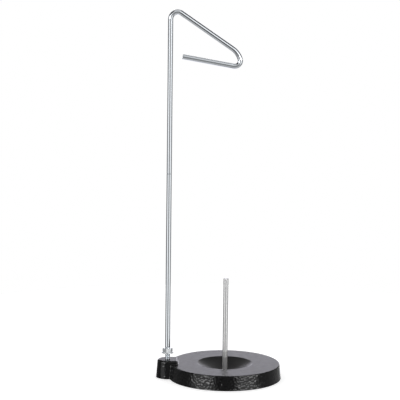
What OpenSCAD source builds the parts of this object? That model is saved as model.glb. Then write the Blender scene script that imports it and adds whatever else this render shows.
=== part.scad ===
// Thread spool holder: a cast foot with a spool spindle, and a guide rod in two lengths whose
// upper length is bent into an open eye for the thread. A flange nut locks the rod in its boss.
// Millimetres. The origin is on the table under the spindle, and the guide rod stands at -X.

/* [Cast foot] */
// Diameter of the round foot on the table
foot_d = 140; // [124:1:170]
// Thickness of the round foot
foot_t = 18; // [16:0.5:24]
// Draft of the foot's side wall, in degrees
foot_draft = 5.7; // [2:0.1:8]
// Radius of the foot's top rim
foot_rim_r = 1.2; // [0.6:0.1:2]
// Diameter of the dish in the top of the foot
dish_d = 68.4; // [56:0.2:80]
// Depth of the dish at its centre
dish_depth = 9.3; // [6:0.1:11]
// Diameter of the flat seat round the spindle's hole
seat_d = 10; // [8:0.5:14]
// Metal left below each tapped hole
hole_floor = 2.5; // [2:0.5:4]

/* [Rod boss] */
// Distance from the spindle's axis to the guide rod's axis
rod_reach = 71.4; // [66:0.2:78]
// Diameter of the boss just below its rounded top
boss_d = 25; // [22:0.5:30]
// Height of the boss above the table
boss_h = 22.5; // [20:0.5:28]
// Draft of the boss's wall, in degrees
boss_draft = 4.2; // [1:0.1:5]
// Radius of the boss's top edge
boss_edge_r = 2.5; // [1:0.1:3]
// Distance from the guide rod's axis to the inner end of the boss's lug
lug_l = 12.7; // [9:0.1:16]
// Width of the lug beside the guide rod
lug_root_w = 24.6; // [20:0.1:25]
// Width of the lug at its inner end
lug_end_w = 25.4; // [24:0.1:36]

/* [Round bar] */
// Diameter of the bar that the spindle and the guide rod are cut from
bar_d = 6.35; // [5:0.05:8]
// Chamfer on the cut ends of the bar
bar_chamfer = 0.35; // [0.2:0.05:0.8]
// Amount by which the crests of the bar's threads lie below its surface
thread_step = 0.075; // [0.05:0.005:0.1]
// Clearance round each thread, on the radius
thread_gap = 0.05; // [0.02:0.01:0.08]

/* [Spindle] */
// Length of the spindle above the floor of the dish
spindle_l = 116.3; // [80:0.1:150]
// Radius of the spindle's rounded tip
spindle_tip_r = 1.2; // [0.6:0.1:2]
// Diameter of the threaded tenon below the spindle's shoulder
tenon_d = 4.8; // [4:0.1:5]

/* [Guide rod] */
// Length of the lower rod from the top of the boss to the seam
lower_rod_l = 231.8; // [180:0.1:280]
// Length of thread that shows above the lock nut
thread_above_nut = 1; // [0.5:0.1:4]
// Gap left between the foot of the guide rod and the bottom of its hole
rod_foot_gap = 0.3; // [0.2:0.1:1]
// Diameter of the stud that joins the two lengths
stud_d = 4.1; // [3:0.1:4.5]
// Length of the stud
stud_l = 12; // [8:0.5:18]
// Depth of the stud's hole beyond the end of the stud
stud_hole_spare = 1; // [0.5:0.1:2]

/* [Thread eye] */
// Straight length of the upper rod from the seam to the first bend
riser_l = 188; // [150:0.5:230]
// Radius of the top bend, at the middle of the bar
top_bend_r = 8.6; // [6:0.1:14]
// Fall of the sloping arm below level, in degrees
slope = 34.1; // [25:0.1:42]
// Length of the sloping arm between its bends
slope_l = 74.6; // [60:0.1:90]
// Radius of the wide bend at the end of the sloping arm
wide_bend_r = 24.4; // [18:0.1:30]
// Turn of the wide bend, in degrees
wide_bend_turn = 33.3; // [25:0.1:50]
// Straight length between the wide bend and the tight bend
bend_flat_l = 1; // [0.5:0.1:4]
// Radius of the tight bend below it
tight_bend_r = 6.9; // [5:0.1:9]
// Rise of the returning arm above level, in degrees
return_rise = 9.9; // [4:0.1:14]
// Length of the returning arm
return_l = 62.6; // [45:0.1:70]

/* [Lock nut] */
// Height of the nut's seat above the boss, as the nut is left in use
nut_lift = 7.8; // [4:0.1:14]
// Width of the hexagon across its flats
nut_flats = 11.1; // [10:0.1:13]
// Height of the nut with its flange
nut_h = 6.4; // [5:0.1:8]
// Diameter of the nut's flange
nut_flange_d = 15; // [14:0.1:18]
// Thickness of the flange at its rim
nut_flange_t = 1.2; // [0.8:0.1:1.6]
// Turn of the hexagon about the rod, in degrees
nut_turn = 12; // [0:1:59]

/* [Hidden] */
$fn = 96;
ARC_STEPS = 8;
NUT_CHAMFER_SLOPE = 30;
NUT_CONE_SLOPE = 25;
OVERCUT = 1;
BEND_LAP = 0.3;
BEND_THINNING = 0.02;
thread_d = bar_d - 2 * thread_step;
tapped_d = thread_d + 2 * thread_gap;
stud_hole_d = stud_d + 2 * thread_gap;
dish_floor = foot_t - dish_depth;
dish_r = (pow(dish_d / 2, 2) + pow(dish_depth, 2)) / (2 * dish_depth);
nut_seat = boss_h + nut_lift;
thread_top = nut_seat + nut_h + thread_above_nut;
seam_h = boss_h + lower_rod_l;
hex_corners = nut_flats / cos(30);
foot_black = [0.07, 0.07, 0.075];
zinc_plate = [0.75, 0.76, 0.78];

// Points of a round corner between a wall that leans in by draft degrees and a level top at height h,
// where the wall would meet the top at radius r
function round_corner(r, h, draft, corner_r) =
    let (centre_x = r - corner_r * (1 - sin(draft)) / cos(draft))
    [for (i = [0 : ARC_STEPS])
        let (a = draft + (90 - draft) * i / ARC_STEPS)
        [centre_x + corner_r * cos(a), h - corner_r + corner_r * sin(a)]];

// Solid of revolution with a drafted wall, a flat foot and a rounded top edge
module drafted_round(foot_r, h, draft, edge_r) {
    top_r = foot_r - h * tan(draft);
    rotate_extrude()
        polygon(concat([[0, 0], [foot_r, 0]], round_corner(top_r, h, draft, edge_r), [[0, h]]));
}

// Outline of the lug at height z, drawn in from its full width by inset
function lug_ring(inset, z) =
    let (spread = (lug_end_w - lug_root_w) / 2 / lug_l,
        in_l = lug_l - inset,
        root = lug_root_w / 2 - inset * sqrt(1 + spread * spread),
        end = root + in_l * spread)
    [[0, -root, z], [in_l, -end, z], [in_l, end, z], [0, root, z]];

// Lug from the middle of the boss towards the foot, with the boss's draft and rounded top edge
module boss_lug() {
    rings = concat(
        [lug_ring(-boss_h * tan(boss_draft), 0)],
        [for (p = round_corner(0, boss_h, boss_draft, boss_edge_r)) lug_ring(-p[0], p[1])]);
    top = 4 * (len(rings) - 1);
    polyhedron(
        points = [for (ring = rings) each ring],
        faces = concat(
            [[0, 1, 2, 3], [top + 3, top + 2, top + 1, top]],
            [for (low = [0 : 4 : top - 4], i = [0 : 3])
                let (j = (i + 1) % 4)
                [low + i, low + 4 + i, low + 4 + j, low + j]]));
}

// Length of bar that stands on z = 0, with its top edge rounded
module round_topped_bar(d, l, tip_r) {
    rotate_extrude()
        polygon(concat([[0, 0], [d / 2, 0]], round_corner(d / 2, l, 0, tip_r), [[0, l]]));
}

// Cone frustum that chamfers the end of a bar of diameter d, from z = 0 upwards
module chamfered_end(d) {
    cylinder(d1 = d, d2 = d - 2 * bar_chamfer, h = bar_chamfer);
}

// Bar bent in its own plane. Each step is [length, 0] for a straight run or [radius, turn] for a bend,
// and bends turn from +Z towards +X. A run laps into the bends beside it, which are a little thinner.
module bent_bar(steps, i = 0) {
    size = steps[i][0];
    turn = steps[i][1];
    if (i == len(steps)) {
        chamfered_end(bar_d);
    } else if (turn == 0) {
        lap_before = i == 0 ? 0 : BEND_LAP;
        lap_after = i == len(steps) - 1 ? 0 : BEND_LAP;
        translate([0, 0, -lap_before])
            cylinder(d = bar_d, h = lap_before + size + lap_after);
        translate([0, 0, size])
            bent_bar(steps, i + 1);
    } else {
        translate([size, 0, 0])
            rotate([90, 0, 180])
                rotate_extrude(angle = turn)
                    translate([size, 0])
                        circle(d = bar_d - 2 * BEND_THINNING);
        translate([size * (1 - cos(turn)), 0, size * sin(turn)])
            rotate([0, turn, 0])
                bent_bar(steps, i + 1);
    }
}

// Foot with its dish, the boss and lug for the guide rod, and the two tapped holes
module base_casting() {
    boss_foot_r = boss_d / 2 + boss_h * tan(boss_draft);
    color(foot_black)
        difference() {
            union() {
                drafted_round(foot_d / 2, foot_t, foot_draft, foot_rim_r);
                translate([-rod_reach, 0, 0]) {
                    drafted_round(boss_foot_r, boss_h, boss_draft, boss_edge_r);
                    boss_lug();
                }
            }
            translate([0, 0, dish_floor + dish_r])
                sphere(r = dish_r);
            translate([0, 0, dish_floor])
                cylinder(d = seat_d, h = dish_depth);
            translate([0, 0, hole_floor])
                cylinder(d = tenon_d + 2 * thread_gap, h = foot_t);
            translate([-rod_reach, 0, hole_floor])
                cylinder(d = tapped_d, h = boss_h);
        }
}

// Spindle with its tenon on the bottom of the middle hole and its shoulder on the flat seat
module spool_spindle() {
    color(zinc_plate) {
        translate([0, 0, hole_floor])
            cylinder(d = tenon_d, h = dish_floor - hole_floor);
        translate([0, 0, dish_floor])
            round_topped_bar(bar_d, spindle_l, spindle_tip_r);
    }
}

// Lower length of the guide rod, threaded at its foot and drilled at its top for the stud
module lower_rod() {
    foot_h = hole_floor + rod_foot_gap;
    stud_hole_l = stud_l + stud_hole_spare;
    color(zinc_plate)
        translate([-rod_reach, 0, 0])
            difference() {
                union() {
                    translate([0, 0, foot_h])
                        cylinder(d = thread_d, h = thread_top - foot_h);
                    translate([0, 0, thread_top])
                        cylinder(d = bar_d, h = seam_h - bar_chamfer - thread_top);
                    translate([0, 0, seam_h - bar_chamfer])
                        chamfered_end(bar_d);
                }
                translate([0, 0, seam_h - stud_hole_l])
                    cylinder(d = stud_hole_d, h = stud_hole_l + OVERCUT);
            }
}

// Upper length of the guide rod: the stud, the riser and the open eye bent from the same bar
module wire_guide() {
    eye = [
        [riser_l - bar_chamfer, 0],
        [top_bend_r, 90 + slope],
        [slope_l, 0],
        [wide_bend_r, wide_bend_turn],
        [bend_flat_l, 0],
        [tight_bend_r, 180 + return_rise - slope - wide_bend_turn],
        [return_l, 0]
    ];
    color(zinc_plate)
        translate([-rod_reach, 0, seam_h]) {
            translate([0, 0, -stud_l])
                cylinder(d = stud_d, h = stud_l);
            translate([0, 0, bar_chamfer])
                mirror([0, 0, 1])
                    chamfered_end(bar_d);
            translate([0, 0, bar_chamfer])
                bent_bar(eye);
        }
}

// Hexagon flange nut on the threaded foot of the lower rod
module lock_nut() {
    flange_r = nut_flange_d / 2;
    cone_top_r = nut_flats / 2;
    cone_h = (flange_r - cone_top_r) * tan(NUT_CONE_SLOPE);
    crown_r = nut_flats / 2;
    blank_r = hex_corners / 2 + OVERCUT;
    crown_drop = (blank_r - crown_r) * tan(NUT_CHAMFER_SLOPE);
    color(zinc_plate)
        translate([-rod_reach, 0, nut_seat])
            difference() {
                union() {
                    cylinder(d = nut_flange_d, h = nut_flange_t);
                    translate([0, 0, nut_flange_t])
                        cylinder(r1 = flange_r, r2 = cone_top_r, h = cone_h);
                    intersection() {
                        rotate([0, 0, nut_turn])
                            cylinder(d = hex_corners, h = nut_h, $fn = 6);
                        rotate_extrude()
                            polygon([[0, 0], [blank_r, 0], [blank_r, nut_h - crown_drop],
                                [crown_r, nut_h], [0, nut_h]]);
                    }
                }
                translate([0, 0, -OVERCUT])
                    cylinder(d = tapped_d, h = nut_h + 2 * OVERCUT);
            }
}

base_casting();
spool_spindle();
lower_rod();
wire_guide();
lock_nut();
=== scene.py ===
# Thread spool holder: the looks of the cast foot, the plated bars and the nut, with light and camera
import math

import bmesh
import bpy
from mathutils import Matrix, Vector, noise


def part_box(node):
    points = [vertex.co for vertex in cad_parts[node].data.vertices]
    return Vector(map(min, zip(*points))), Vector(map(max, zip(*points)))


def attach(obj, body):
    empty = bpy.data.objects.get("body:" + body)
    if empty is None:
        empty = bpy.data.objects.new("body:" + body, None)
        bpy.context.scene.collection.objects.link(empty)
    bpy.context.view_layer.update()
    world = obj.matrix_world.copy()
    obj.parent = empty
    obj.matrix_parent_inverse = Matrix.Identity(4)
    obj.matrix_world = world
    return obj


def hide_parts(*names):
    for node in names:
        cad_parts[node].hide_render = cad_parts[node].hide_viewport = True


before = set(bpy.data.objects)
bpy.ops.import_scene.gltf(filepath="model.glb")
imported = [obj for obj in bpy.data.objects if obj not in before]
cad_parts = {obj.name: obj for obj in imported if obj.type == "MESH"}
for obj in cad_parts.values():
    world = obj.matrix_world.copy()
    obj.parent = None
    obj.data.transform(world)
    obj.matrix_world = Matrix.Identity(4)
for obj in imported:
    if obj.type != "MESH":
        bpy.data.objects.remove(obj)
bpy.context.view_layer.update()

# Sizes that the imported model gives, in metres
base_low, base_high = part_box("base_casting")
rod_low, rod_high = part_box("lower_rod")
nut_low, nut_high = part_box("lock_nut")
MM = 0.001
BAR_R = (rod_high.x - rod_low.x) / 2
ROD_X = (rod_low.x + rod_high.x) / 2
ROD_FOOT = rod_low.z
SEAM = rod_high.z
SPINDLE_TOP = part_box("spool_spindle")[1].z
FOOT_R = base_high.x
LUG_H = base_high.z
LUG_FOOT_R = ROD_X - base_low.x

# Cast foot
FOOT_T = 18 * MM
FOOT_DRAFT = math.tan(math.radians(5.7))
FOOT_RIM_R = 1.2 * MM
FOOT_RIM_STEPS = 6
FOOT_EDGE_R = 0.25 * MM
FOOT_EDGE_IN = 1.1 * FOOT_EDGE_R
FOOT_EDGE_STEPS = 4
WALL_FOOT = 2 * FOOT_EDGE_R
UNDERSIDE_RINGS = (20 * MM, 40 * MM, 58 * MM)
DISH_R = 34.2 * MM
DISH_DEPTH = 9.3 * MM
DISH_POWER = 2.1
DISH_LIP = 0.25 * MM
SEAT_R = 5 * MM
SEAT_FLAT_R = 0.98 * SEAT_R
FOOT_AROUND = 700
FOOT_CREASE = math.radians(50)
ROW_STEP = 0.5 * MM
TOP_STEP = 1.5 * MM
LIP_STEP = 0.15 * MM
DISH_STEP = 1.8 * MM

# Lug for the guide rod, with its tapped hole
LUG_DRAFT = math.tan(math.radians(4.2))
LUG_EDGE_R = 2.3 * MM
LUG_EDGE_STEPS = 8
LUG_FOOT_IN = 1.05 * FOOT_EDGE_R
LUG_UNDERSIDE_R = 0.7 * LUG_FOOT_R
LUG_L = 12.7 * MM
LUG_END_HALF = 12.7 * MM
LUG_CORNER_R = 2.2 * MM
LUG_AROUND = 300
TAPPED_R = 3.15 * MM
TAPPED_LEAD = 0.3 * MM
TAPPED_DEPTH = 8 * MM

# Fillet between lug and disc: vertices that lie near both are moved onto it in a few passes
LUG_FILLET = 0.8 * MM
FILL_REACH = 1.05 * LUG_FILLET
FILL_SHIFT = 0.02 * MM
FILL_PASSES = 4
FILL_LEAST_SLOPE = 0.1

# Paint, pebbled on the cast walls
PEBBLE = 2.0 * MM
PEBBLE_SHARE = 0.9
PEBBLE_FINE = 1.1 * MM
PEBBLE_FINE_SHARE = 0.3
PEBBLE_FINE_START = Vector((7.1, 3.3, 5.7))
PEBBLE_DEPTH = 0.55 * MM
PEBBLE_TILT = 0.6
PEBBLE_ON_LUG = 0.5
PEBBLE_LEAD = 4 * MM
PAINT_COLOUR = (0.003, 0.003, 0.0034, 1)
PAINT_IOR = 1.38
WALL_SHARE = 0.15
WALL_ROUGHNESS = 0.1
TOP_ROUGHNESS = 0.35
WALL_MOTTLE = 0.3
TOP_MOTTLE = 0.05
MOTTLE_SCALE = 160
MOTTLE_DETAIL = 3
MOTTLE_RANGE = (0.3, 0.7)
PEEL_SCALE = 900
PEEL_DETAIL = 2
PEEL_HEIGHT = 0.05 * MM
TOP_PEEL = 0.05
WALL_PEEL = 0.25

# Zinc plate, with lines along the drawn bars and painted shade in the seam of the guide rod
ROD_COLOUR = (0.715, 0.748, 0.78)
SPINDLE_COLOUR = (0.765, 0.765, 0.768)
NUT_COLOUR = (0.8, 0.83, 0.85)
PLATE_SHADE = 0.93
PLATE_RANGE = (0.35, 0.65)
PLATE_SCALE = 300
PLATE_DETAIL = 4
LINE_SCALE = 2200
LINE_DETAIL = 3
LINE_STRETCH = 0.03
LINE_SHARE = 0.5
LINE_HEIGHT = 0.004 * MM
LINE_STRENGTH = 0.04
# Painted shade in the seam groove between the two rods: full within the first distance of the seam, gone by
# the second, darkening the colour to this share
SEAM_SHADE_FULL = 0.33 * MM
SEAM_SHADE_END = 0.5 * MM
JOINT_SHADE = 0.35

# Spool spindle
SPINDLE_TIP_R = 1.2 * MM
SPINDLE_TIP_STEPS = 8

# Guide rod and its bent eye
BAR_SIDES = 64
BAR_CHAMFER = 0.35 * MM
BAR_CREASE = math.radians(32)
THREAD_PITCH = 1.27 * MM
THREAD_CREST_R = 3.17 * MM
THREAD_ROOT_R = 2.6 * MM
THREAD_FLANK = (0.2, 0.88)
THREAD_TOP = nut_high.z + 1.0 * MM
THREAD_ROWS = 12
THREAD_MERGE = 0.02 * MM
PLAIN_ROWS = 6
SLOPE = 34.1
RETURN_RISE = 9.9
WIDE_TURN = 33.3
BEND_STEP = 3.0
RING_LEAD = 1.0 * MM
LONG_RUN = 3 * RING_LEAD
EYE_STEPS = [
    ("run", 187.96 * MM),
    ("bend", 8.6 * MM, 90 + SLOPE),
    ("run", 74.6 * MM),
    ("bend", 24.4 * MM, WIDE_TURN),
    ("run", 1.0 * MM),
    ("bend", 6.9 * MM, 180 + RETURN_RISE - SLOPE - WIDE_TURN),
    ("run", 62.95 * MM),
]

# Flange nut
NUT_FLATS = 11.1 * MM
NUT_TURN = math.radians(12)
NUT_FLANGE_R = (nut_high.x - nut_low.x) / 2
NUT_FLANGE_T = 1.2 * MM
NUT_RIM_R = 0.55 * MM
NUT_RIM_STEPS = 4
NUT_CORNER_R = 0.05 * MM
NUT_CROWN = math.tan(math.radians(30))
NUT_CROWN_SHARE = 0.98
NUT_CONE_ANGLE = 25
NUT_CONE = math.tan(math.radians(NUT_CONE_ANGLE))
NUT_ROW = 0.3 * MM
NUT_HEX_LEAD = 0.01 * MM
NUT_HEX_R = 0.99 * NUT_FLATS / 2
NUT_MERGE = 0.002 * MM
NUT_AROUND = 240
NUT_CREASE = math.radians(20)

# Camera, as fitted to the outlines of the foot and the rods
CAMERA_TURN = math.radians(1.8)
CAMERA_PLACE = Vector((-33.35 * MM, -1905 * MM, 488.5 * MM))
CAMERA_PITCH = math.radians(7.962)
CAMERA_ROLL = math.radians(0.7)
CAMERA_LENS = 141.1
SENSOR = 36.0
CLIP_NEAR = 0.1
CLIP_FAR = 50

# Studio: a white ground behind, a wide soft box on each side of the camera, a dark gap in front and above.
# Levels are brightness, and angles are turned away from the camera's side.
BOX_LEFT_NEAR = math.radians(27)
BOX_RIGHT_NEAR = math.radians(23)
BOX_NEAR_ABOVE = math.radians(12)
BOX_LEFT_FAR = math.radians(75)
BOX_LEFT_FAR_ABOVE = math.radians(65)
BOX_RIGHT_FAR = math.radians(68)
BOX_FADE = math.radians(8)
BOX_LOW_LEVEL = 1.0
BOX_LEVEL = 9.0
BOX_TOP_LEVEL = 1.8
BOX_HIGH_LEVEL = 0.95
BOX_LEFT_TOP = 0.38
BOX_RIGHT_TOP = 0.67
BOX_TOP_FADE = 0.07
FRONT_LEVEL = 0.12
FRONT_HIGH_LEVEL = 0.4
FRONT_TABLE_LEVEL = 0.3
FRONT_EDGE_LEVEL = 0.4
HOLLOW_LEVEL = 0.03
SIDE_LEFT_LEVEL = 0.16
SIDE_LEFT_ABOVE_LEVEL = 0.27
SIDE_RIGHT_LEVEL = 0.33
OVERHEAD_LEVEL = 0.75
CEILING_LEVEL = 0.1
ZENITH_LEVEL = 0.7
BACK_MIDDLE_LEVEL = 0.2
BACK_SIDE_LEVEL = 0.55
BACK_FAR_LEVEL = 0.15
TABLE_LEVEL = 0.6
SOFT_LEVEL = 0.8
GROUND_LOW_LEVEL = 1.16
GROUND_LEVEL = 2.5
GROUND_TINT = (0.92, 0.905, 1.0)
WHITE = (1, 1, 1)

# Where the studio changes: each pair is where a change starts and ends, in x, y or z of the direction
LEFT_TO_RIGHT = (-0.1, 0.1)
BOX_NEAR_Z = (0.1, 0.3)
BOX_LEFT_FAR_Z = (-0.1, 0.0)
BOX_FOOT_Z = (-0.5, -0.3)
BOX_RISE_Z = (0.0, 0.06)
BOX_TOP_Z = (0.13, 0.2)
BOX_HIGH_Z = (0.25, 0.45)
FRONT_EDGE_Z = (-0.1, -0.04)
FRONT_Z = (0.0, 0.06)
FRONT_HIGH_Z = (0.15, 0.3)
SIDE_LEFT_Z = (-0.15, -0.08)
HOLLOW_X = (-0.06, -0.14)
HOLLOW_Y = (-0.7, -0.85)
HOLLOW_Z = (-0.19, -0.27)
TABLE_Z = (-0.5, -0.75)
BACK_SIDE_X = (0.15, 0.28)
BACK_FAR_X = (0.45, 0.65)
BACK_Y = (0.1, 0.35)
ZENITH_Z = (0.88, 0.96)
OVERHEAD_X = (0.45, 0.3)
OVERHEAD_Y = (-0.25, -0.5)
HIGH_Z = (0.3, 0.45)
GROUND_X = (0.42, 0.16)
GROUND_Y = (0.0, 0.3)
GROUND_Z = (0.32, 0.26)
GROUND_RISE_Z = (-0.04, 0.02)

# Floor, which shows the soft shadow
FLOOR_R = 0.6
FLOOR_Z = -0.2 * MM
FLOOR_SIDES = 96
FLOOR_WHITE = 0.5
FLOOR_COLOUR = (0.82, 0.82, 0.82, 1)
FLOOR_ROUGHNESS = 0.9

# Smallest divisor
LEAST = 0.001


def link_object(name, data):
    piece = bpy.data.objects.new(name, data)
    bpy.context.scene.collection.objects.link(piece)
    return piece


# Shader and geometry node trees

def add_node(tree, kind, **settings):
    made = tree.nodes.new(kind)
    for key, value in settings.items():
        setattr(made, key, value)
    return made


def feed(tree, socket, value):
    if isinstance(value, bpy.types.NodeSocket):
        tree.links.new(value, socket)
    else:
        socket.default_value = value


def reckon(tree, operation, *values):
    made = add_node(tree, "ShaderNodeMath", operation=operation)
    for socket, value in zip(made.inputs, values):
        feed(tree, socket, value)
    return made.outputs[0]


def ramp(tree, value, start, end, low=0.0, high=1.0):
    made = add_node(tree, "ShaderNodeMapRange", interpolation_type="SMOOTHSTEP")
    for socket, given in zip(made.inputs, (value, start, end, low, high)):
        feed(tree, socket, given)
    return made.outputs[0]


def blend(tree, share, low, high):
    made = add_node(tree, "ShaderNodeMix", data_type="FLOAT")
    for socket, value in zip(made.inputs, (share, None, low, high)):
        if value is not None:
            feed(tree, socket, value)
    return made.outputs[0]


def tint(tree, share, first, second):
    made = add_node(tree, "ShaderNodeMix", data_type="RGBA")
    feed(tree, made.inputs[0], share)
    for socket, colour in ((made.inputs[6], first), (made.inputs[7], second)):
        feed(tree, socket, (*colour, 1) if isinstance(colour, tuple) else colour)
    return made.outputs[2]


def combine(tree, x, y, z):
    made = add_node(tree, "ShaderNodeCombineXYZ")
    for socket, value in zip(made.inputs, (x, y, z)):
        feed(tree, socket, value)
    return made.outputs[0]


def separate(tree, vector):
    made = add_node(tree, "ShaderNodeSeparateXYZ")
    feed(tree, made.inputs[0], vector)
    return made.outputs


def new_geometry_tree(name, sizes):
    tree = bpy.data.node_groups.new(name, "GeometryNodeTree")
    kinds = {float: "NodeSocketFloat", int: "NodeSocketInt", bpy.types.Material: "NodeSocketMaterial"}
    tree.interface.new_socket("Geometry", in_out="INPUT", socket_type="NodeSocketGeometry")
    for label, value in sizes.items():
        tree.interface.new_socket(label, in_out="INPUT", socket_type=kinds[type(value)])
    tree.interface.new_socket("Geometry", in_out="OUTPUT", socket_type="NodeSocketGeometry")
    return tree, add_node(tree, "NodeGroupInput").outputs


def close_geometry_tree(tree, shape, inputs):
    smooth = add_node(tree, "GeometryNodeSetShadeSmooth")
    real = add_node(tree, "GeometryNodeRealizeInstances")
    finish = add_node(tree, "GeometryNodeSetMaterial")
    feed(tree, smooth.inputs["Geometry"], shape)
    feed(tree, real.inputs["Geometry"], smooth.outputs[0])
    feed(tree, finish.inputs["Geometry"], real.outputs[0])
    feed(tree, finish.inputs["Material"], inputs["Material"])
    feed(tree, add_node(tree, "NodeGroupOutput").inputs[0], finish.outputs[0])


def store_place(tree, shape, place):
    kept = add_node(tree, "GeometryNodeStoreNamedAttribute", data_type="FLOAT_VECTOR", domain="POINT")
    feed(tree, kept.inputs["Geometry"], shape)
    kept.inputs["Name"].default_value = "bar_place"
    feed(tree, kept.inputs["Value"], place)
    return kept.outputs[0]


# A piece that a geometry node tree makes once, kept as a plain mesh

def grow(name, data, tree, sizes):
    holder = link_object(name + "_maker", data)
    modifier = holder.modifiers.new("shape", "NODES")
    modifier.node_group = tree
    for item in tree.interface.items_tree:
        if item.in_out == "INPUT" and item.name in sizes:
            modifier[item.identifier] = sizes[item.name]
    seen = holder.evaluated_get(bpy.context.evaluated_depsgraph_get())
    mesh = bpy.data.meshes.new_from_object(seen)
    bpy.data.objects.remove(holder)
    mesh.name = name
    return link_object(name, mesh)


def crease(piece, limit):
    work = bmesh.new()
    work.from_mesh(piece.data)
    for face in work.faces:
        face.smooth = True
    for edge in work.edges:
        edge.smooth = len(edge.link_faces) == 2 and edge.calc_face_angle(0) < limit
    work.to_mesh(piece.data)
    work.free()


# Bars

def bar_tree(sizes):
    tree, inputs = new_geometry_tree("bar_along_path", sizes)
    spline = add_node(tree, "GeometryNodeSplineParameter")
    path = add_node(tree, "GeometryNodeCaptureAttribute", domain="POINT")
    path.capture_items.new("FLOAT", "along")
    feed(tree, path.inputs["Geometry"], inputs["Geometry"])
    feed(tree, path.inputs["along"], spline.outputs["Length"])
    ring = add_node(tree, "GeometryNodeCurvePrimitiveCircle", mode="RADIUS")
    feed(tree, ring.inputs["Resolution"], inputs["Sides"])
    feed(tree, ring.inputs["Radius"], inputs["Radius"])
    section = add_node(tree, "GeometryNodeCaptureAttribute", domain="POINT")
    section.capture_items.new("FLOAT", "around")
    feed(tree, section.inputs["Geometry"], ring.outputs["Curve"])
    feed(tree, section.inputs["around"], spline.outputs["Factor"])
    sweep = add_node(tree, "GeometryNodeCurveToMesh")
    feed(tree, sweep.inputs["Curve"], path.outputs["Geometry"])
    feed(tree, sweep.inputs["Profile Curve"], section.outputs["Geometry"])
    feed(tree, sweep.inputs["Scale"], add_node(tree, "GeometryNodeInputRadius").outputs[0])
    sweep.inputs["Fill Caps"].default_value = True
    angle = reckon(tree, "MULTIPLY", section.outputs["around"], 2 * math.pi)
    across = reckon(tree, "MULTIPLY", reckon(tree, "COSINE", angle), inputs["Radius"])
    deep = reckon(tree, "MULTIPLY", reckon(tree, "SINE", angle), inputs["Radius"])
    place = combine(tree, across, deep, path.outputs["along"])
    close_geometry_tree(tree, store_place(tree, sweep.outputs["Mesh"], place), inputs)
    return tree


def path_curve(name, points):
    data = bpy.data.curves.new(name, "CURVE")
    data.dimensions = "3D"
    spline = data.splines.new("POLY")
    spline.points.add(len(points) - 1)
    for knot, (place, share) in zip(spline.points, points):
        knot.co = (*place, 1)
        knot.radius = share
    return data


def bar_along(name, points, made):
    sizes = {"Radius": BAR_R, "Sides": BAR_SIDES, "Material": made}
    piece = grow(name, path_curve(name, points), bar_tree(sizes), sizes)
    crease(piece, BAR_CREASE)
    return piece


# Centre lines as (place, share of the bar's radius), the eye's from the seam up and around

def eye_path():
    full = 1.0
    end = 1 - BAR_CHAMFER / BAR_R
    place = Vector((ROD_X, 0, SEAM))
    heading = 90.0
    points = [(place.copy(), end), (place + Vector((0, 0, BAR_CHAMFER)), full)]
    for step in EYE_STEPS:
        ahead = Vector((math.cos(math.radians(heading)), 0, math.sin(math.radians(heading))))
        if step[0] == "run":
            if step[1] > LONG_RUN:
                points.append((place + ahead * RING_LEAD, full))
                points.append((place + ahead * (step[1] - RING_LEAD), full))
            place = place + ahead * step[1]
            points.append((place.copy(), full))
            continue
        bend_r, turn = step[1], step[2]
        centre = place + Vector((ahead.z, 0, -ahead.x)) * bend_r
        count = math.ceil(turn / BEND_STEP)
        for part in range(1, count + 1):
            now = math.radians(heading - turn * part / count)
            place = centre + Vector((-math.sin(now), 0, math.cos(now))) * bend_r
            points.append((place.copy(), full))
        heading -= turn
    last = points.pop()[0]
    points.append((last - ahead * BAR_CHAMFER, full))
    points.append((last, end))
    return points


def spindle_path():
    foot = FOOT_T - DISH_DEPTH
    shoulder = SPINDLE_TOP - SPINDLE_TIP_R
    points = [(Vector((0, 0, foot)), 1.0), (Vector((0, 0, shoulder - RING_LEAD)), 1.0)]
    for part in range(SPINDLE_TIP_STEPS + 1):
        turn = math.radians(90 * part / SPINDLE_TIP_STEPS)
        share = 1 - SPINDLE_TIP_R * (1 - math.cos(turn)) / BAR_R
        points.append((Vector((0, 0, shoulder + SPINDLE_TIP_R * math.sin(turn))), share))
    return points


# The lower rod: a threaded tube up to the thread's top, and a plain one from there to the seam

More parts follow.
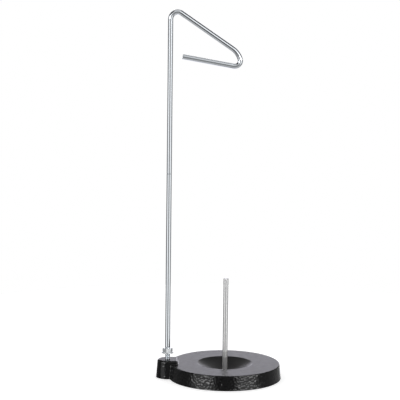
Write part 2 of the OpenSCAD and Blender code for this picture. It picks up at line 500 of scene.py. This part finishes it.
def threaded_tree(sizes):
    tree, inputs = new_geometry_tree("threaded_bar", sizes)
    round_count = reckon(tree, "ADD", inputs["Sides"], 1)

    def tube(rows, shape):
        grid = add_node(tree, "GeometryNodeMeshGrid")
        grid.inputs["Size X"].default_value = 1
        grid.inputs["Size Y"].default_value = 1
        feed(tree, grid.inputs["Vertices X"], round_count)
        feed(tree, grid.inputs["Vertices Y"], rows)
        x, y, _ = separate(tree, add_node(tree, "GeometryNodeInputPosition").outputs[0])
        around = reckon(tree, "ADD", x, 0.5)
        row = reckon(tree, "ROUND", reckon(tree, "MULTIPLY", reckon(tree, "ADD", y, 0.5),
                                           reckon(tree, "SUBTRACT", rows, 1)))
        radius, height = shape(around, row)
        angle = reckon(tree, "MULTIPLY", around, 2 * math.pi)
        across = reckon(tree, "MULTIPLY", reckon(tree, "COSINE", angle), radius)
        deep = reckon(tree, "MULTIPLY", reckon(tree, "SINE", angle), radius)
        placed = add_node(tree, "GeometryNodeSetPosition")
        feed(tree, placed.inputs["Geometry"], grid.outputs["Mesh"])
        feed(tree, placed.inputs["Position"],
             combine(tree, reckon(tree, "ADD", across, inputs["Axis"]), deep, height))
        return placed.outputs[0]

    def thread(around, row):
        rise = reckon(tree, "DIVIDE", inputs["Pitch"], inputs["Rows"])
        climb = reckon(tree, "MULTIPLY", row, rise)
        phase = reckon(tree, "SUBTRACT", reckon(tree, "DIVIDE", climb, inputs["Pitch"]), around)
        wave = reckon(tree, "MULTIPLY", reckon(tree, "PINGPONG", phase, 0.5), 2)
        flank = add_node(tree, "ShaderNodeMapRange")
        for socket, value in zip(flank.inputs, (wave, *THREAD_FLANK, inputs["Root"], inputs["Crest"])):
            feed(tree, socket, value)
        height = reckon(tree, "ADD", inputs["Foot"], climb)
        left = reckon(tree, "SUBTRACT", inputs["Top"], height)
        fade = reckon(tree, "MINIMUM", reckon(tree, "DIVIDE", left, inputs["Pitch"]), 1)
        cut = reckon(tree, "SUBTRACT", inputs["Radius"], flank.outputs[0])
        radius = reckon(tree, "SUBTRACT", inputs["Radius"], reckon(tree, "MULTIPLY", cut, fade))
        return reckon(tree, "MULTIPLY", radius, reckon(tree, "MINIMUM", row, 1)), height

    def plain(around, row):
        below = reckon(tree, "SUBTRACT", inputs["Seam"], inputs["Chamfer"])
        narrow = reckon(tree, "SUBTRACT", inputs["Radius"], inputs["Chamfer"])
        picks = []
        whole = inputs["Radius"]
        start = reckon(tree, "ADD", inputs["Top"], inputs["Lead"])
        finish = reckon(tree, "SUBTRACT", below, inputs["Lead"])
        for options in ((whole, whole, whole, whole, narrow, 0.0),
                        (inputs["Top"], start, finish, below, inputs["Seam"], inputs["Seam"])):
            switch = add_node(tree, "GeometryNodeIndexSwitch", data_type="FLOAT")
            while len(switch.index_switch_items) < len(options):
                switch.index_switch_items.new()
            feed(tree, switch.inputs["Index"], row)
            for number, option in enumerate(options):
                feed(tree, switch.inputs[str(number)], option)
            picks.append(switch.outputs[0])
        return picks

    turns = reckon(tree, "DIVIDE", reckon(tree, "SUBTRACT", inputs["Top"], inputs["Foot"]), inputs["Pitch"])
    gaps = reckon(tree, "ROUND", reckon(tree, "MULTIPLY", turns, inputs["Rows"]))
    both = add_node(tree, "GeometryNodeJoinGeometry")
    feed(tree, both.inputs[0], tube(reckon(tree, "ADD", gaps, 1), thread))
    feed(tree, both.inputs[0], tube(PLAIN_ROWS, plain))
    merged = add_node(tree, "GeometryNodeMergeByDistance")
    feed(tree, merged.inputs["Geometry"], both.outputs[0])
    merged.inputs["Distance"].default_value = THREAD_MERGE
    x, y, z = separate(tree, add_node(tree, "GeometryNodeInputPosition").outputs[0])
    place = combine(tree, reckon(tree, "SUBTRACT", x, inputs["Axis"]), y, z)
    close_geometry_tree(tree, store_place(tree, merged.outputs[0], place), inputs)
    return tree


def threaded_rod(name, made):
    turns = round((THREAD_TOP - ROD_FOOT) / THREAD_PITCH)
    sizes = {
        "Foot": THREAD_TOP - turns * THREAD_PITCH, "Top": THREAD_TOP, "Seam": SEAM,
        "Pitch": THREAD_PITCH, "Rows": THREAD_ROWS, "Crest": THREAD_CREST_R, "Root": THREAD_ROOT_R,
        "Radius": BAR_R, "Chamfer": BAR_CHAMFER, "Lead": RING_LEAD, "Axis": ROD_X, "Sides": BAR_SIDES,
        "Material": made,
    }
    piece = grow(name, bpy.data.meshes.new(name), threaded_tree(sizes), sizes)
    face_out(piece)
    crease(piece, BAR_CREASE)
    return piece


def face_out(piece, merge=0.0):
    work = bmesh.new()
    work.from_mesh(piece.data)
    if merge:
        bmesh.ops.remove_doubles(work, verts=work.verts[:], dist=merge)
    bmesh.ops.recalc_face_normals(work, faces=work.faces[:])
    work.to_mesh(piece.data)
    work.free()


# Round shapes from a row of (radius, height) points, from the middle of the underside up and in

def lathe(name, outline, around, centre_x=0.0, reach=None):
    work = bmesh.new()
    rings = []
    for radius, height in outline:
        if radius == 0:
            rings.append([work.verts.new((centre_x, 0, height))])
            continue
        ring = []
        for number in range(around):
            angle = 2 * math.pi * number / around
            out = reach(radius, height, angle) if reach else radius
            ring.append(work.verts.new((centre_x + out * math.cos(angle), out * math.sin(angle), height)))
        rings.append(ring)
    for low, high in zip(rings, rings[1:]):
        for number in range(around):
            after = (number + 1) % around
            if len(low) == 1:
                corners = (low[0], high[after], high[number])
            elif len(high) == 1:
                corners = (low[number], low[after], high[0])
            else:
                corners = (low[number], low[after], high[after], high[number])
            work.faces.new(corners)
    mesh = bpy.data.meshes.new(name)
    work.to_mesh(mesh)
    work.free()
    return link_object(name, mesh)


def steps(start, end, stride):
    count = max(1, round(abs(end - start) / stride))
    return [start + (end - start) * number / count for number in range(count + 1)]


def corner(centre_r, centre_h, radius, start, end, count):
    made = []
    for number in range(count + 1):
        angle = math.radians(start + (end - start) * number / count)
        made.append((centre_r + radius * math.cos(angle), centre_h + radius * math.sin(angle)))
    return made


def dish_depth(radius):
    depth = DISH_DEPTH * (1 - (radius / DISH_R) ** DISH_POWER)
    soft = max(DISH_LIP - abs(depth), 0)
    return max(depth, 0) + soft ** 2 / (4 * DISH_LIP)


def foot_outline():
    draft = math.degrees(math.atan(FOOT_DRAFT))
    rim_mid = FOOT_T - FOOT_RIM_R
    wall_top = rim_mid + FOOT_RIM_R * math.sin(math.radians(draft))
    rim_in = FOOT_R - wall_top * FOOT_DRAFT - FOOT_RIM_R * math.cos(math.radians(draft))
    outline = [(0, 0), (SEAT_R, 0)]
    outline += [(radius, 0) for radius in UNDERSIDE_RINGS]
    outline += corner(FOOT_R - FOOT_EDGE_IN, FOOT_EDGE_R, FOOT_EDGE_R, -90, draft, FOOT_EDGE_STEPS)
    for height in steps(WALL_FOOT, wall_top, ROW_STEP)[:-1]:
        outline.append((FOOT_R - height * FOOT_DRAFT, height))
    outline += corner(rim_in, rim_mid, FOOT_RIM_R, draft, 90, FOOT_RIM_STEPS)
    lip_out = DISH_R * (1 + DISH_LIP / DISH_DEPTH) ** (1 / DISH_POWER)
    lip_in = DISH_R * (1 - DISH_LIP / DISH_DEPTH) ** (1 / DISH_POWER)
    across_top = steps(rim_in, lip_out, TOP_STEP)[1:]
    across_top += steps(lip_out, lip_in, LIP_STEP)[1:]
    across_top += steps(lip_in, SEAT_R, DISH_STEP)[1:]
    for radius in across_top:
        outline.append((radius, FOOT_T - dish_depth(radius)))
    outline += [(radius, FOOT_T - DISH_DEPTH) for radius in (SEAT_FLAT_R, BAR_R, 0)]
    return outline


# The lug's plan: a round end about the rod and two small corners, with straight sides between them.
# Distances are from the rod's axis, and the plan grows or shrinks evenly by an offset.

LUG_TOP_R = LUG_FOOT_R - LUG_H * LUG_DRAFT
LUG_CORNER = Vector((LUG_L - LUG_CORNER_R, LUG_END_HALF - LUG_CORNER_R))
LUG_CORNER_TURN = math.atan2(LUG_CORNER.y, LUG_CORNER.x)
LUG_SIDE_TURN = LUG_CORNER_TURN + math.acos((LUG_TOP_R - LUG_CORNER_R) / LUG_CORNER.length)
LUG_SIDE = Vector((math.cos(LUG_SIDE_TURN), math.sin(LUG_SIDE_TURN)))
LUG_SIDE_L = LUG_CORNER.x * LUG_SIDE.y - LUG_CORNER.y * LUG_SIDE.x


def lug_reach(offset, angle):
    ray = Vector((math.cos(angle), abs(math.sin(angle))))
    side = (LUG_TOP_R + offset) / max(ray.dot(LUG_SIDE), LEAST)
    along = side * (ray.x * LUG_SIDE.y - ray.y * LUG_SIDE.x)
    if along < 0:
        return LUG_TOP_R + offset
    if along < LUG_SIDE_L:
        return side
    end = (LUG_L + offset) / ray.x
    if end * ray.y < LUG_CORNER.y:
        return end
    near = ray.dot(LUG_CORNER)
    beyond = near ** 2 - LUG_CORNER.length_squared + (LUG_CORNER_R + offset) ** 2
    return near + math.sqrt(max(0, beyond))


def lug_distance(x, y):
    place = Vector((x, abs(y)))
    along = place.x * LUG_SIDE.y - place.y * LUG_SIDE.x
    if along < 0:
        return place.length - LUG_TOP_R
    if along < LUG_SIDE_L:
        return place.dot(LUG_SIDE) - LUG_TOP_R
    if place.y < LUG_CORNER.y:
        return place.x - LUG_L
    return (place - LUG_CORNER).length - LUG_CORNER_R


def lug_outline():
    edge_mid = LUG_H - LUG_EDGE_R
    draft = math.degrees(math.atan(LUG_DRAFT))
    outline = [(0, 0), (TAPPED_R, 0), (LUG_UNDERSIDE_R, 0)]
    outline += corner(LUG_FOOT_R - LUG_FOOT_IN, FOOT_EDGE_R, FOOT_EDGE_R, -90, draft, FOOT_EDGE_STEPS)
    wall_top = edge_mid + LUG_EDGE_R * math.sin(math.radians(draft))
    for height in steps(WALL_FOOT, wall_top, ROW_STEP)[:-1]:
        outline.append((LUG_FOOT_R - height * LUG_DRAFT, height))
    edge_in = LUG_FOOT_R - wall_top * LUG_DRAFT - LUG_EDGE_R * math.cos(math.radians(draft))
    outline += corner(edge_in, edge_mid, LUG_EDGE_R, draft, 90, LUG_EDGE_STEPS)
    for radius in steps(edge_in, TAPPED_R + TAPPED_LEAD, ROW_STEP)[1:]:
        outline.append((radius, LUG_H))
    hole_end = LUG_H - TAPPED_DEPTH
    outline += [(TAPPED_R, LUG_H - TAPPED_LEAD), (TAPPED_R, hole_end), (0, hole_end)]
    return outline


def lug_ring(radius, height, angle):
    inner = TAPPED_R + TAPPED_LEAD
    edge = LUG_TOP_R - LUG_EDGE_R
    if radius <= inner:
        return radius
    if radius >= edge:
        return lug_reach(radius - LUG_TOP_R, angle)
    share = (radius - inner) / (edge - inner)
    return inner + share * (lug_reach(edge - LUG_TOP_R, angle) - inner)


# Depth under the surface of the foot with its lug, with a fillet where the two meet

def rounded_inside(first, second, radius):
    out = math.hypot(max(first + radius, 0), max(second + radius, 0))
    return min(max(first, second), -radius) + out


def casting_depth(place):
    x, y, z = place
    wall = (math.hypot(x, y) - FOOT_R + z * FOOT_DRAFT) / math.hypot(1, FOOT_DRAFT)
    foot = rounded_inside(wall, z - FOOT_T, FOOT_RIM_R)
    side = (lug_distance(x - ROD_X, y) - (LUG_H - z) * LUG_DRAFT) / math.hypot(1, LUG_DRAFT)
    lug = rounded_inside(side, z - LUG_H, LUG_EDGE_R)
    both = math.hypot(max(LUG_FILLET - foot, 0), max(LUG_FILLET - lug, 0))
    return max(LUG_FILLET, min(foot, lug)) - both, foot, lug


def fill_corner(mesh):
    shifts = [Vector(step) * FILL_SHIFT for step in ((1, 0, 0), (0, 1, 0), (0, 0, 1))]
    for vertex in mesh.vertices:
        if vertex.co.z < FOOT_EDGE_R:
            continue
        _, foot, lug = casting_depth(vertex.co)
        if max(foot, lug) > FILL_REACH:
            continue
        for _ in range(FILL_PASSES):
            here = casting_depth(vertex.co)[0]
            slope = Vector([casting_depth(vertex.co + shift)[0] - here for shift in shifts]) / FILL_SHIFT
            vertex.co -= slope * here / max(slope.length_squared, FILL_LEAST_SLOPE)


def limited(value, low=0, high=1):
    return min(high, max(low, value))


def pebble(place):
    big = noise.noise(place / PEBBLE)
    fine = noise.noise(place / PEBBLE_FINE + PEBBLE_FINE_START)
    return (1 + limited(PEBBLE_SHARE * big + PEBBLE_FINE_SHARE * fine, -1)) / 2


def roughen(mesh):
    rough = mesh.attributes.new("pebbled", "FLOAT", "POINT")
    normals = [Vector(vertex.normal) for vertex in mesh.vertices]
    for vertex, normal in zip(mesh.vertices, normals):
        on_wall = vertex.co.z > FOOT_EDGE_R and vertex.co.xy.length >= DISH_R + DISH_LIP * 2
        sideways = limited((1 - abs(normal.z)) / PEBBLE_TILT) if on_wall else 0
        from_lug = casting_depth(vertex.co)[2]
        sideways *= PEBBLE_ON_LUG + (1 - PEBBLE_ON_LUG) * limited(from_lug / PEBBLE_LEAD)
        rough.data[vertex.index].value = sideways
        vertex.co -= normal * PEBBLE_DEPTH * sideways * (1 - pebble(vertex.co))


def cast_foot(name, made):
    disc = lathe(name, foot_outline(), FOOT_AROUND)
    lug = lathe(name + "_lug", lug_outline(), LUG_AROUND, ROD_X, lug_ring)
    join = disc.modifiers.new("join", "BOOLEAN")
    join.operation = "UNION"
    join.solver = "EXACT"
    join.object = lug
    seen = disc.evaluated_get(bpy.context.evaluated_depsgraph_get())
    mesh = bpy.data.meshes.new_from_object(seen)
    bpy.data.objects.remove(disc)
    bpy.data.objects.remove(lug)
    mesh.name = name
    fill_corner(mesh)
    roughen(mesh)
    piece = link_object(name, mesh)
    mesh.materials.clear()
    mesh.materials.append(made)
    crease(piece, FOOT_CREASE)
    return piece


# Flange nut

def nut_flat(angle):
    side = (angle - NUT_TURN) % (math.pi / 3) - math.pi / 6
    return NUT_FLATS / 2 / math.cos(side)


def flange_nut(name, made):
    seat, top = nut_low.z, nut_high.z
    corner_r = NUT_FLATS / 2 / math.cos(math.pi / 6) - NUT_CORNER_R
    rim_in = NUT_FLANGE_R - NUT_RIM_R
    rim_top = seat + NUT_FLANGE_T - NUT_RIM_R
    outline = [(TAPPED_R, seat + TAPPED_LEAD), (TAPPED_R + TAPPED_LEAD, seat)]
    outline += corner(rim_in, seat + NUT_RIM_R, NUT_RIM_R, -90, 0, NUT_RIM_STEPS)
    outline += corner(rim_in, rim_top, NUT_RIM_R, 0, 90 - NUT_CONE_ANGLE, NUT_RIM_STEPS)
    cone_r, cone_h = outline[-1]
    hex_foot = cone_h + (cone_r - corner_r) * NUT_CONE
    outline.append((corner_r, hex_foot))
    for height in steps(seat, top, NUT_ROW):
        if height > hex_foot:
            crown = NUT_FLATS / 2 + (top - height) / NUT_CROWN * NUT_CROWN_SHARE
            outline.append((min(corner_r, crown), height))
    outline += [(TAPPED_R + TAPPED_LEAD, top), (TAPPED_R, top - TAPPED_LEAD), (TAPPED_R, seat + TAPPED_LEAD)]

    def reach(radius, height, angle):
        on_hexagon = height > hex_foot - NUT_HEX_LEAD and radius > NUT_HEX_R
        return min(radius, nut_flat(angle)) if on_hexagon else radius

    piece = lathe(name, outline, NUT_AROUND, ROD_X, reach)
    face_out(piece, NUT_MERGE)
    piece.data.materials.append(made)
    crease(piece, NUT_CREASE)
    return piece


# Finishes

def new_finish(name):
    made = bpy.data.materials.new(name)
    made.use_nodes = True
    return made, made.node_tree, made.node_tree.nodes["Principled BSDF"].inputs


def clouds(tree, place, scale, detail):
    made = add_node(tree, "ShaderNodeTexNoise")
    feed(tree, made.inputs["Vector"], place)
    made.inputs["Scale"].default_value = scale
    made.inputs["Detail"].default_value = detail
    return made.outputs["Fac"]


def bumps(tree, height, distance, strength):
    made = add_node(tree, "ShaderNodeBump")
    made.inputs["Distance"].default_value = distance
    feed(tree, made.inputs["Strength"], strength)
    feed(tree, made.inputs["Height"], height)
    return made.outputs["Normal"]


def black_enamel():
    made, tree, shader = new_finish("black_enamel")
    shader["Base Color"].default_value = PAINT_COLOUR
    shader["IOR"].default_value = PAINT_IOR
    spot = add_node(tree, "ShaderNodeTexCoord").outputs["Object"]
    rough = add_node(tree, "ShaderNodeAttribute", attribute_name="pebbled").outputs["Fac"]
    even = ramp(tree, rough, 0, WALL_SHARE, TOP_ROUGHNESS, WALL_ROUGHNESS)
    spread = ramp(tree, rough, 0, WALL_SHARE, TOP_MOTTLE, WALL_MOTTLE)
    least = reckon(tree, "SUBTRACT", 1, spread)
    most = reckon(tree, "ADD", 1, spread)
    mottle = ramp(tree, clouds(tree, spot, MOTTLE_SCALE, MOTTLE_DETAIL), *MOTTLE_RANGE, least, most)
    feed(tree, shader["Roughness"], reckon(tree, "MULTIPLY", even, mottle))
    peel = clouds(tree, spot, PEEL_SCALE, PEEL_DETAIL)
    feed(tree, shader["Normal"], bumps(tree, peel, PEEL_HEIGHT, ramp(tree, rough, 0, 1, TOP_PEEL, WALL_PEEL)))
    return made


def zinc_plate(name, colour, metal, smooth, dull, drawn):
    made, tree, shader = new_finish(name)
    shader["Metallic"].default_value = metal
    if drawn:
        place = add_node(tree, "ShaderNodeAttribute", attribute_name="bar_place").outputs["Vector"]
    else:
        place = add_node(tree, "ShaderNodeTexCoord").outputs["Object"]
    lengthwise = add_node(tree, "ShaderNodeMapping")
    feed(tree, lengthwise.inputs["Vector"], place)
    lengthwise.inputs["Scale"].default_value = (1, 1, LINE_STRETCH if drawn else 1)
    lines = clouds(tree, lengthwise.outputs[0], LINE_SCALE, LINE_DETAIL)
    patches = clouds(tree, place, PLATE_SCALE, PLATE_DETAIL)
    both = reckon(tree, "ADD", reckon(tree, "MULTIPLY", lines, LINE_SHARE),
                  reckon(tree, "MULTIPLY", patches, 1 - LINE_SHARE))
    feed(tree, shader["Roughness"], ramp(tree, both, *PLATE_RANGE, smooth, dull))
    darker = tuple(PLATE_SHADE * part for part in colour)
    feed(tree, shader["Base Color"], tint(tree, ramp(tree, both, *PLATE_RANGE), colour, darker))
    feed(tree, shader["Normal"], bumps(tree, lines, LINE_HEIGHT, LINE_STRENGTH))
    return made


# Painted shade: the base colour is darkened in a narrow band on both sides of the seam between the lower rod
# and the eye, standing in for the shade in that groove
def darken_joint(made, unshaded):
    tree = made.node_tree
    height = separate(tree, add_node(tree, "ShaderNodeTexCoord").outputs["Object"])[2]
    away = reckon(tree, "ABSOLUTE", reckon(tree, "SUBTRACT", height, SEAM))
    groove = ramp(tree, away, SEAM_SHADE_END, SEAM_SHADE_FULL)
    shaded = tuple(JOINT_SHADE * part for part in unshaded)
    colour = tree.nodes["Principled BSDF"].inputs["Base Color"]
    feed(tree, colour, tint(tree, groove, colour.links[0].from_socket, shaded))


# Camera, floor and light

def make_camera():
    turn = Matrix.Rotation(-CAMERA_TURN, 3, "Z")
    ahead = turn @ Vector((0, math.cos(CAMERA_PITCH), -math.sin(CAMERA_PITCH)))
    level = turn @ Vector((1, 0, 0))
    upright = level.cross(ahead)
    right = math.cos(CAMERA_ROLL) * level + math.sin(CAMERA_ROLL) * upright
    up = math.cos(CAMERA_ROLL) * upright - math.sin(CAMERA_ROLL) * level
    data = bpy.data.cameras.new("camera")
    data.lens = CAMERA_LENS
    data.sensor_width = SENSOR
    data.sensor_fit = "HORIZONTAL"
    data.clip_start = CLIP_NEAR
    data.clip_end = CLIP_FAR
    camera = link_object("camera", data)
    placed = Matrix((right, up, -ahead)).transposed().to_4x4()
    placed.translation = turn @ CAMERA_PLACE
    camera.matrix_world = placed
    bpy.context.scene.camera = camera


def product(tree, *values):
    made = values[0]
    for value in values[1:]:
        made = reckon(tree, "MULTIPLY", made, value)
    return made


# Brightness by direction: the soft boxes, the lower part of the room and its upper part

def box_light(tree, x, z, turned):
    near = ramp(tree, x, *LEFT_TO_RIGHT, BOX_LEFT_NEAR, BOX_RIGHT_NEAR)
    near = blend(tree, ramp(tree, z, *BOX_NEAR_Z), near, BOX_NEAR_ABOVE)
    left_far = ramp(tree, z, *BOX_LEFT_FAR_Z, BOX_LEFT_FAR, BOX_LEFT_FAR_ABOVE)
    far = ramp(tree, x, *LEFT_TO_RIGHT, left_far, BOX_RIGHT_FAR)
    past_near = reckon(tree, "SUBTRACT", turned, near)
    past_far = reckon(tree, "SUBTRACT", turned, far)
    top = ramp(tree, x, *LEFT_TO_RIGHT, BOX_LEFT_TOP, BOX_RIGHT_TOP)
    past_top = reckon(tree, "SUBTRACT", z, top)
    level = ramp(tree, z, *BOX_RISE_Z, BOX_LOW_LEVEL, BOX_LEVEL)
    level = blend(tree, ramp(tree, z, *BOX_TOP_Z), level, BOX_TOP_LEVEL)
    level = blend(tree, ramp(tree, z, *BOX_HIGH_Z), level, BOX_HIGH_LEVEL)
    return product(tree, ramp(tree, past_near, -BOX_FADE / 2, BOX_FADE / 2),
                   ramp(tree, past_far, BOX_FADE, -BOX_FADE),
                   ramp(tree, past_top, BOX_TOP_FADE, -BOX_TOP_FADE),
                   ramp(tree, z, *BOX_FOOT_Z), level)


def low_light(tree, x, y, z, turned):
    front = ramp(tree, z, *FRONT_EDGE_Z, FRONT_TABLE_LEVEL, FRONT_EDGE_LEVEL)
    front = blend(tree, ramp(tree, z, *FRONT_Z), front, FRONT_LEVEL)
    front = blend(tree, ramp(tree, z, *FRONT_HIGH_Z), front, FRONT_HIGH_LEVEL)
    left_side = ramp(tree, z, *SIDE_LEFT_Z, SIDE_LEFT_LEVEL, SIDE_LEFT_ABOVE_LEVEL)
    side = ramp(tree, x, *LEFT_TO_RIGHT, left_side, SIDE_RIGHT_LEVEL)
    low = blend(tree, ramp(tree, turned, BOX_RIGHT_NEAR, BOX_LEFT_FAR), front, side)
    hollow = product(tree, ramp(tree, x, *HOLLOW_X), ramp(tree, z, *HOLLOW_Z), ramp(tree, y, *HOLLOW_Y))
    low = blend(tree, hollow, low, HOLLOW_LEVEL)
    return blend(tree, ramp(tree, z, *TABLE_Z), low, TABLE_LEVEL)


def high_light(tree, x, y, z, aside):
    back = ramp(tree, aside, *BACK_SIDE_X, BACK_MIDDLE_LEVEL, BACK_SIDE_LEVEL)
    back = blend(tree, ramp(tree, aside, *BACK_FAR_X), back, BACK_FAR_LEVEL)
    ceiling = ramp(tree, z, *ZENITH_Z, CEILING_LEVEL, ZENITH_LEVEL)
    high = blend(tree, ramp(tree, y, *BACK_Y), ceiling, back)
    middle = ramp(tree, reckon(tree, "ABSOLUTE", x), *OVERHEAD_X)
    return blend(tree, product(tree, ramp(tree, y, *OVERHEAD_Y), middle), high, OVERHEAD_LEVEL)


def make_world():
    scene = bpy.context.scene
    scene.view_settings.view_transform = "Standard"
    world = bpy.data.worlds.new("studio")
    scene.world = world
    world.use_nodes = True
    tree = world.node_tree
    x, y, z = separate(tree, add_node(tree, "ShaderNodeTexCoord").outputs["Generated"])
    rays = add_node(tree, "ShaderNodeLightPath").outputs
    flat = reckon(tree, "SQRT", reckon(tree, "SUBTRACT", 1, product(tree, z, z)))
    flat = reckon(tree, "MAXIMUM", flat, LEAST)
    behind = reckon(tree, "DIVIDE", y, flat)
    aside = reckon(tree, "DIVIDE", reckon(tree, "ABSOLUTE", x), flat)
    turned = reckon(tree, "SUBTRACT", math.pi, reckon(tree, "ARCCOSINE", behind))
    low = low_light(tree, x, y, z, turned)
    level = blend(tree, ramp(tree, z, *HIGH_Z), low, high_light(tree, x, y, z, aside))
    level = reckon(tree, "ADD", level, box_light(tree, x, z, turned))
    ground = product(tree, ramp(tree, aside, *GROUND_X), ramp(tree, z, *GROUND_Z),
                     ramp(tree, behind, *GROUND_Y))
    level = blend(tree, ground, level, ramp(tree, z, *GROUND_RISE_Z, GROUND_LOW_LEVEL, GROUND_LEVEL))
    mirrored = reckon(tree, "ADD", rays["Is Glossy Ray"], rays["Is Transmission Ray"])
    level = blend(tree, mirrored, SOFT_LEVEL, level)
    shown = blend(tree, rays["Is Camera Ray"], level, 1.0)
    background = tree.nodes["Background"].inputs
    feed(tree, background["Strength"], shown)
    feed(tree, background["Color"], tint(tree, product(tree, ground, mirrored), WHITE, GROUND_TINT))


def make_floor():
    floor = lathe("floor", [(0, FLOOR_Z), (FLOOR_R, FLOOR_Z)], FLOOR_SIDES)
    made, tree, shader = new_finish("floor_white")
    shader["Base Color"].default_value = FLOOR_COLOUR
    shader["Roughness"].default_value = FLOOR_ROUGHNESS
    shader["Emission Color"].default_value = (*WHITE, 1)
    rays = add_node(tree, "ShaderNodeLightPath").outputs
    feed(tree, shader["Emission Strength"], product(tree, rays["Is Camera Ray"], FLOOR_WHITE))
    floor.data.materials.append(made)
    floor.visible_glossy = False


def set_in(piece, node, body):
    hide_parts(node)
    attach(piece, body)


make_camera()
make_world()
make_floor()
enamel = black_enamel()
rod_zinc = zinc_plate("rod_zinc", ROD_COLOUR, metal=1.0, smooth=0.06, dull=0.1, drawn=True)
darken_joint(rod_zinc, ROD_COLOUR)
spindle_zinc = zinc_plate("spindle_zinc", SPINDLE_COLOUR, metal=0.55, smooth=0.08, dull=0.13, drawn=True)
nut_zinc = zinc_plate("nut_zinc", NUT_COLOUR, metal=0.65, smooth=0.18, dull=0.24, drawn=False)
set_in(cast_foot("cast_foot", enamel), "base_casting", "base")
set_in(bar_along("spindle_bar", spindle_path(), spindle_zinc), "spool_spindle", "base")
set_in(threaded_rod("threaded_rod", rod_zinc), "lower_rod", "guide")
set_in(bar_along("thread_eye", eye_path(), rod_zinc), "wire_guide", "guide")
set_in(flange_nut("flange_nut", nut_zinc), "lock_nut", "nut")
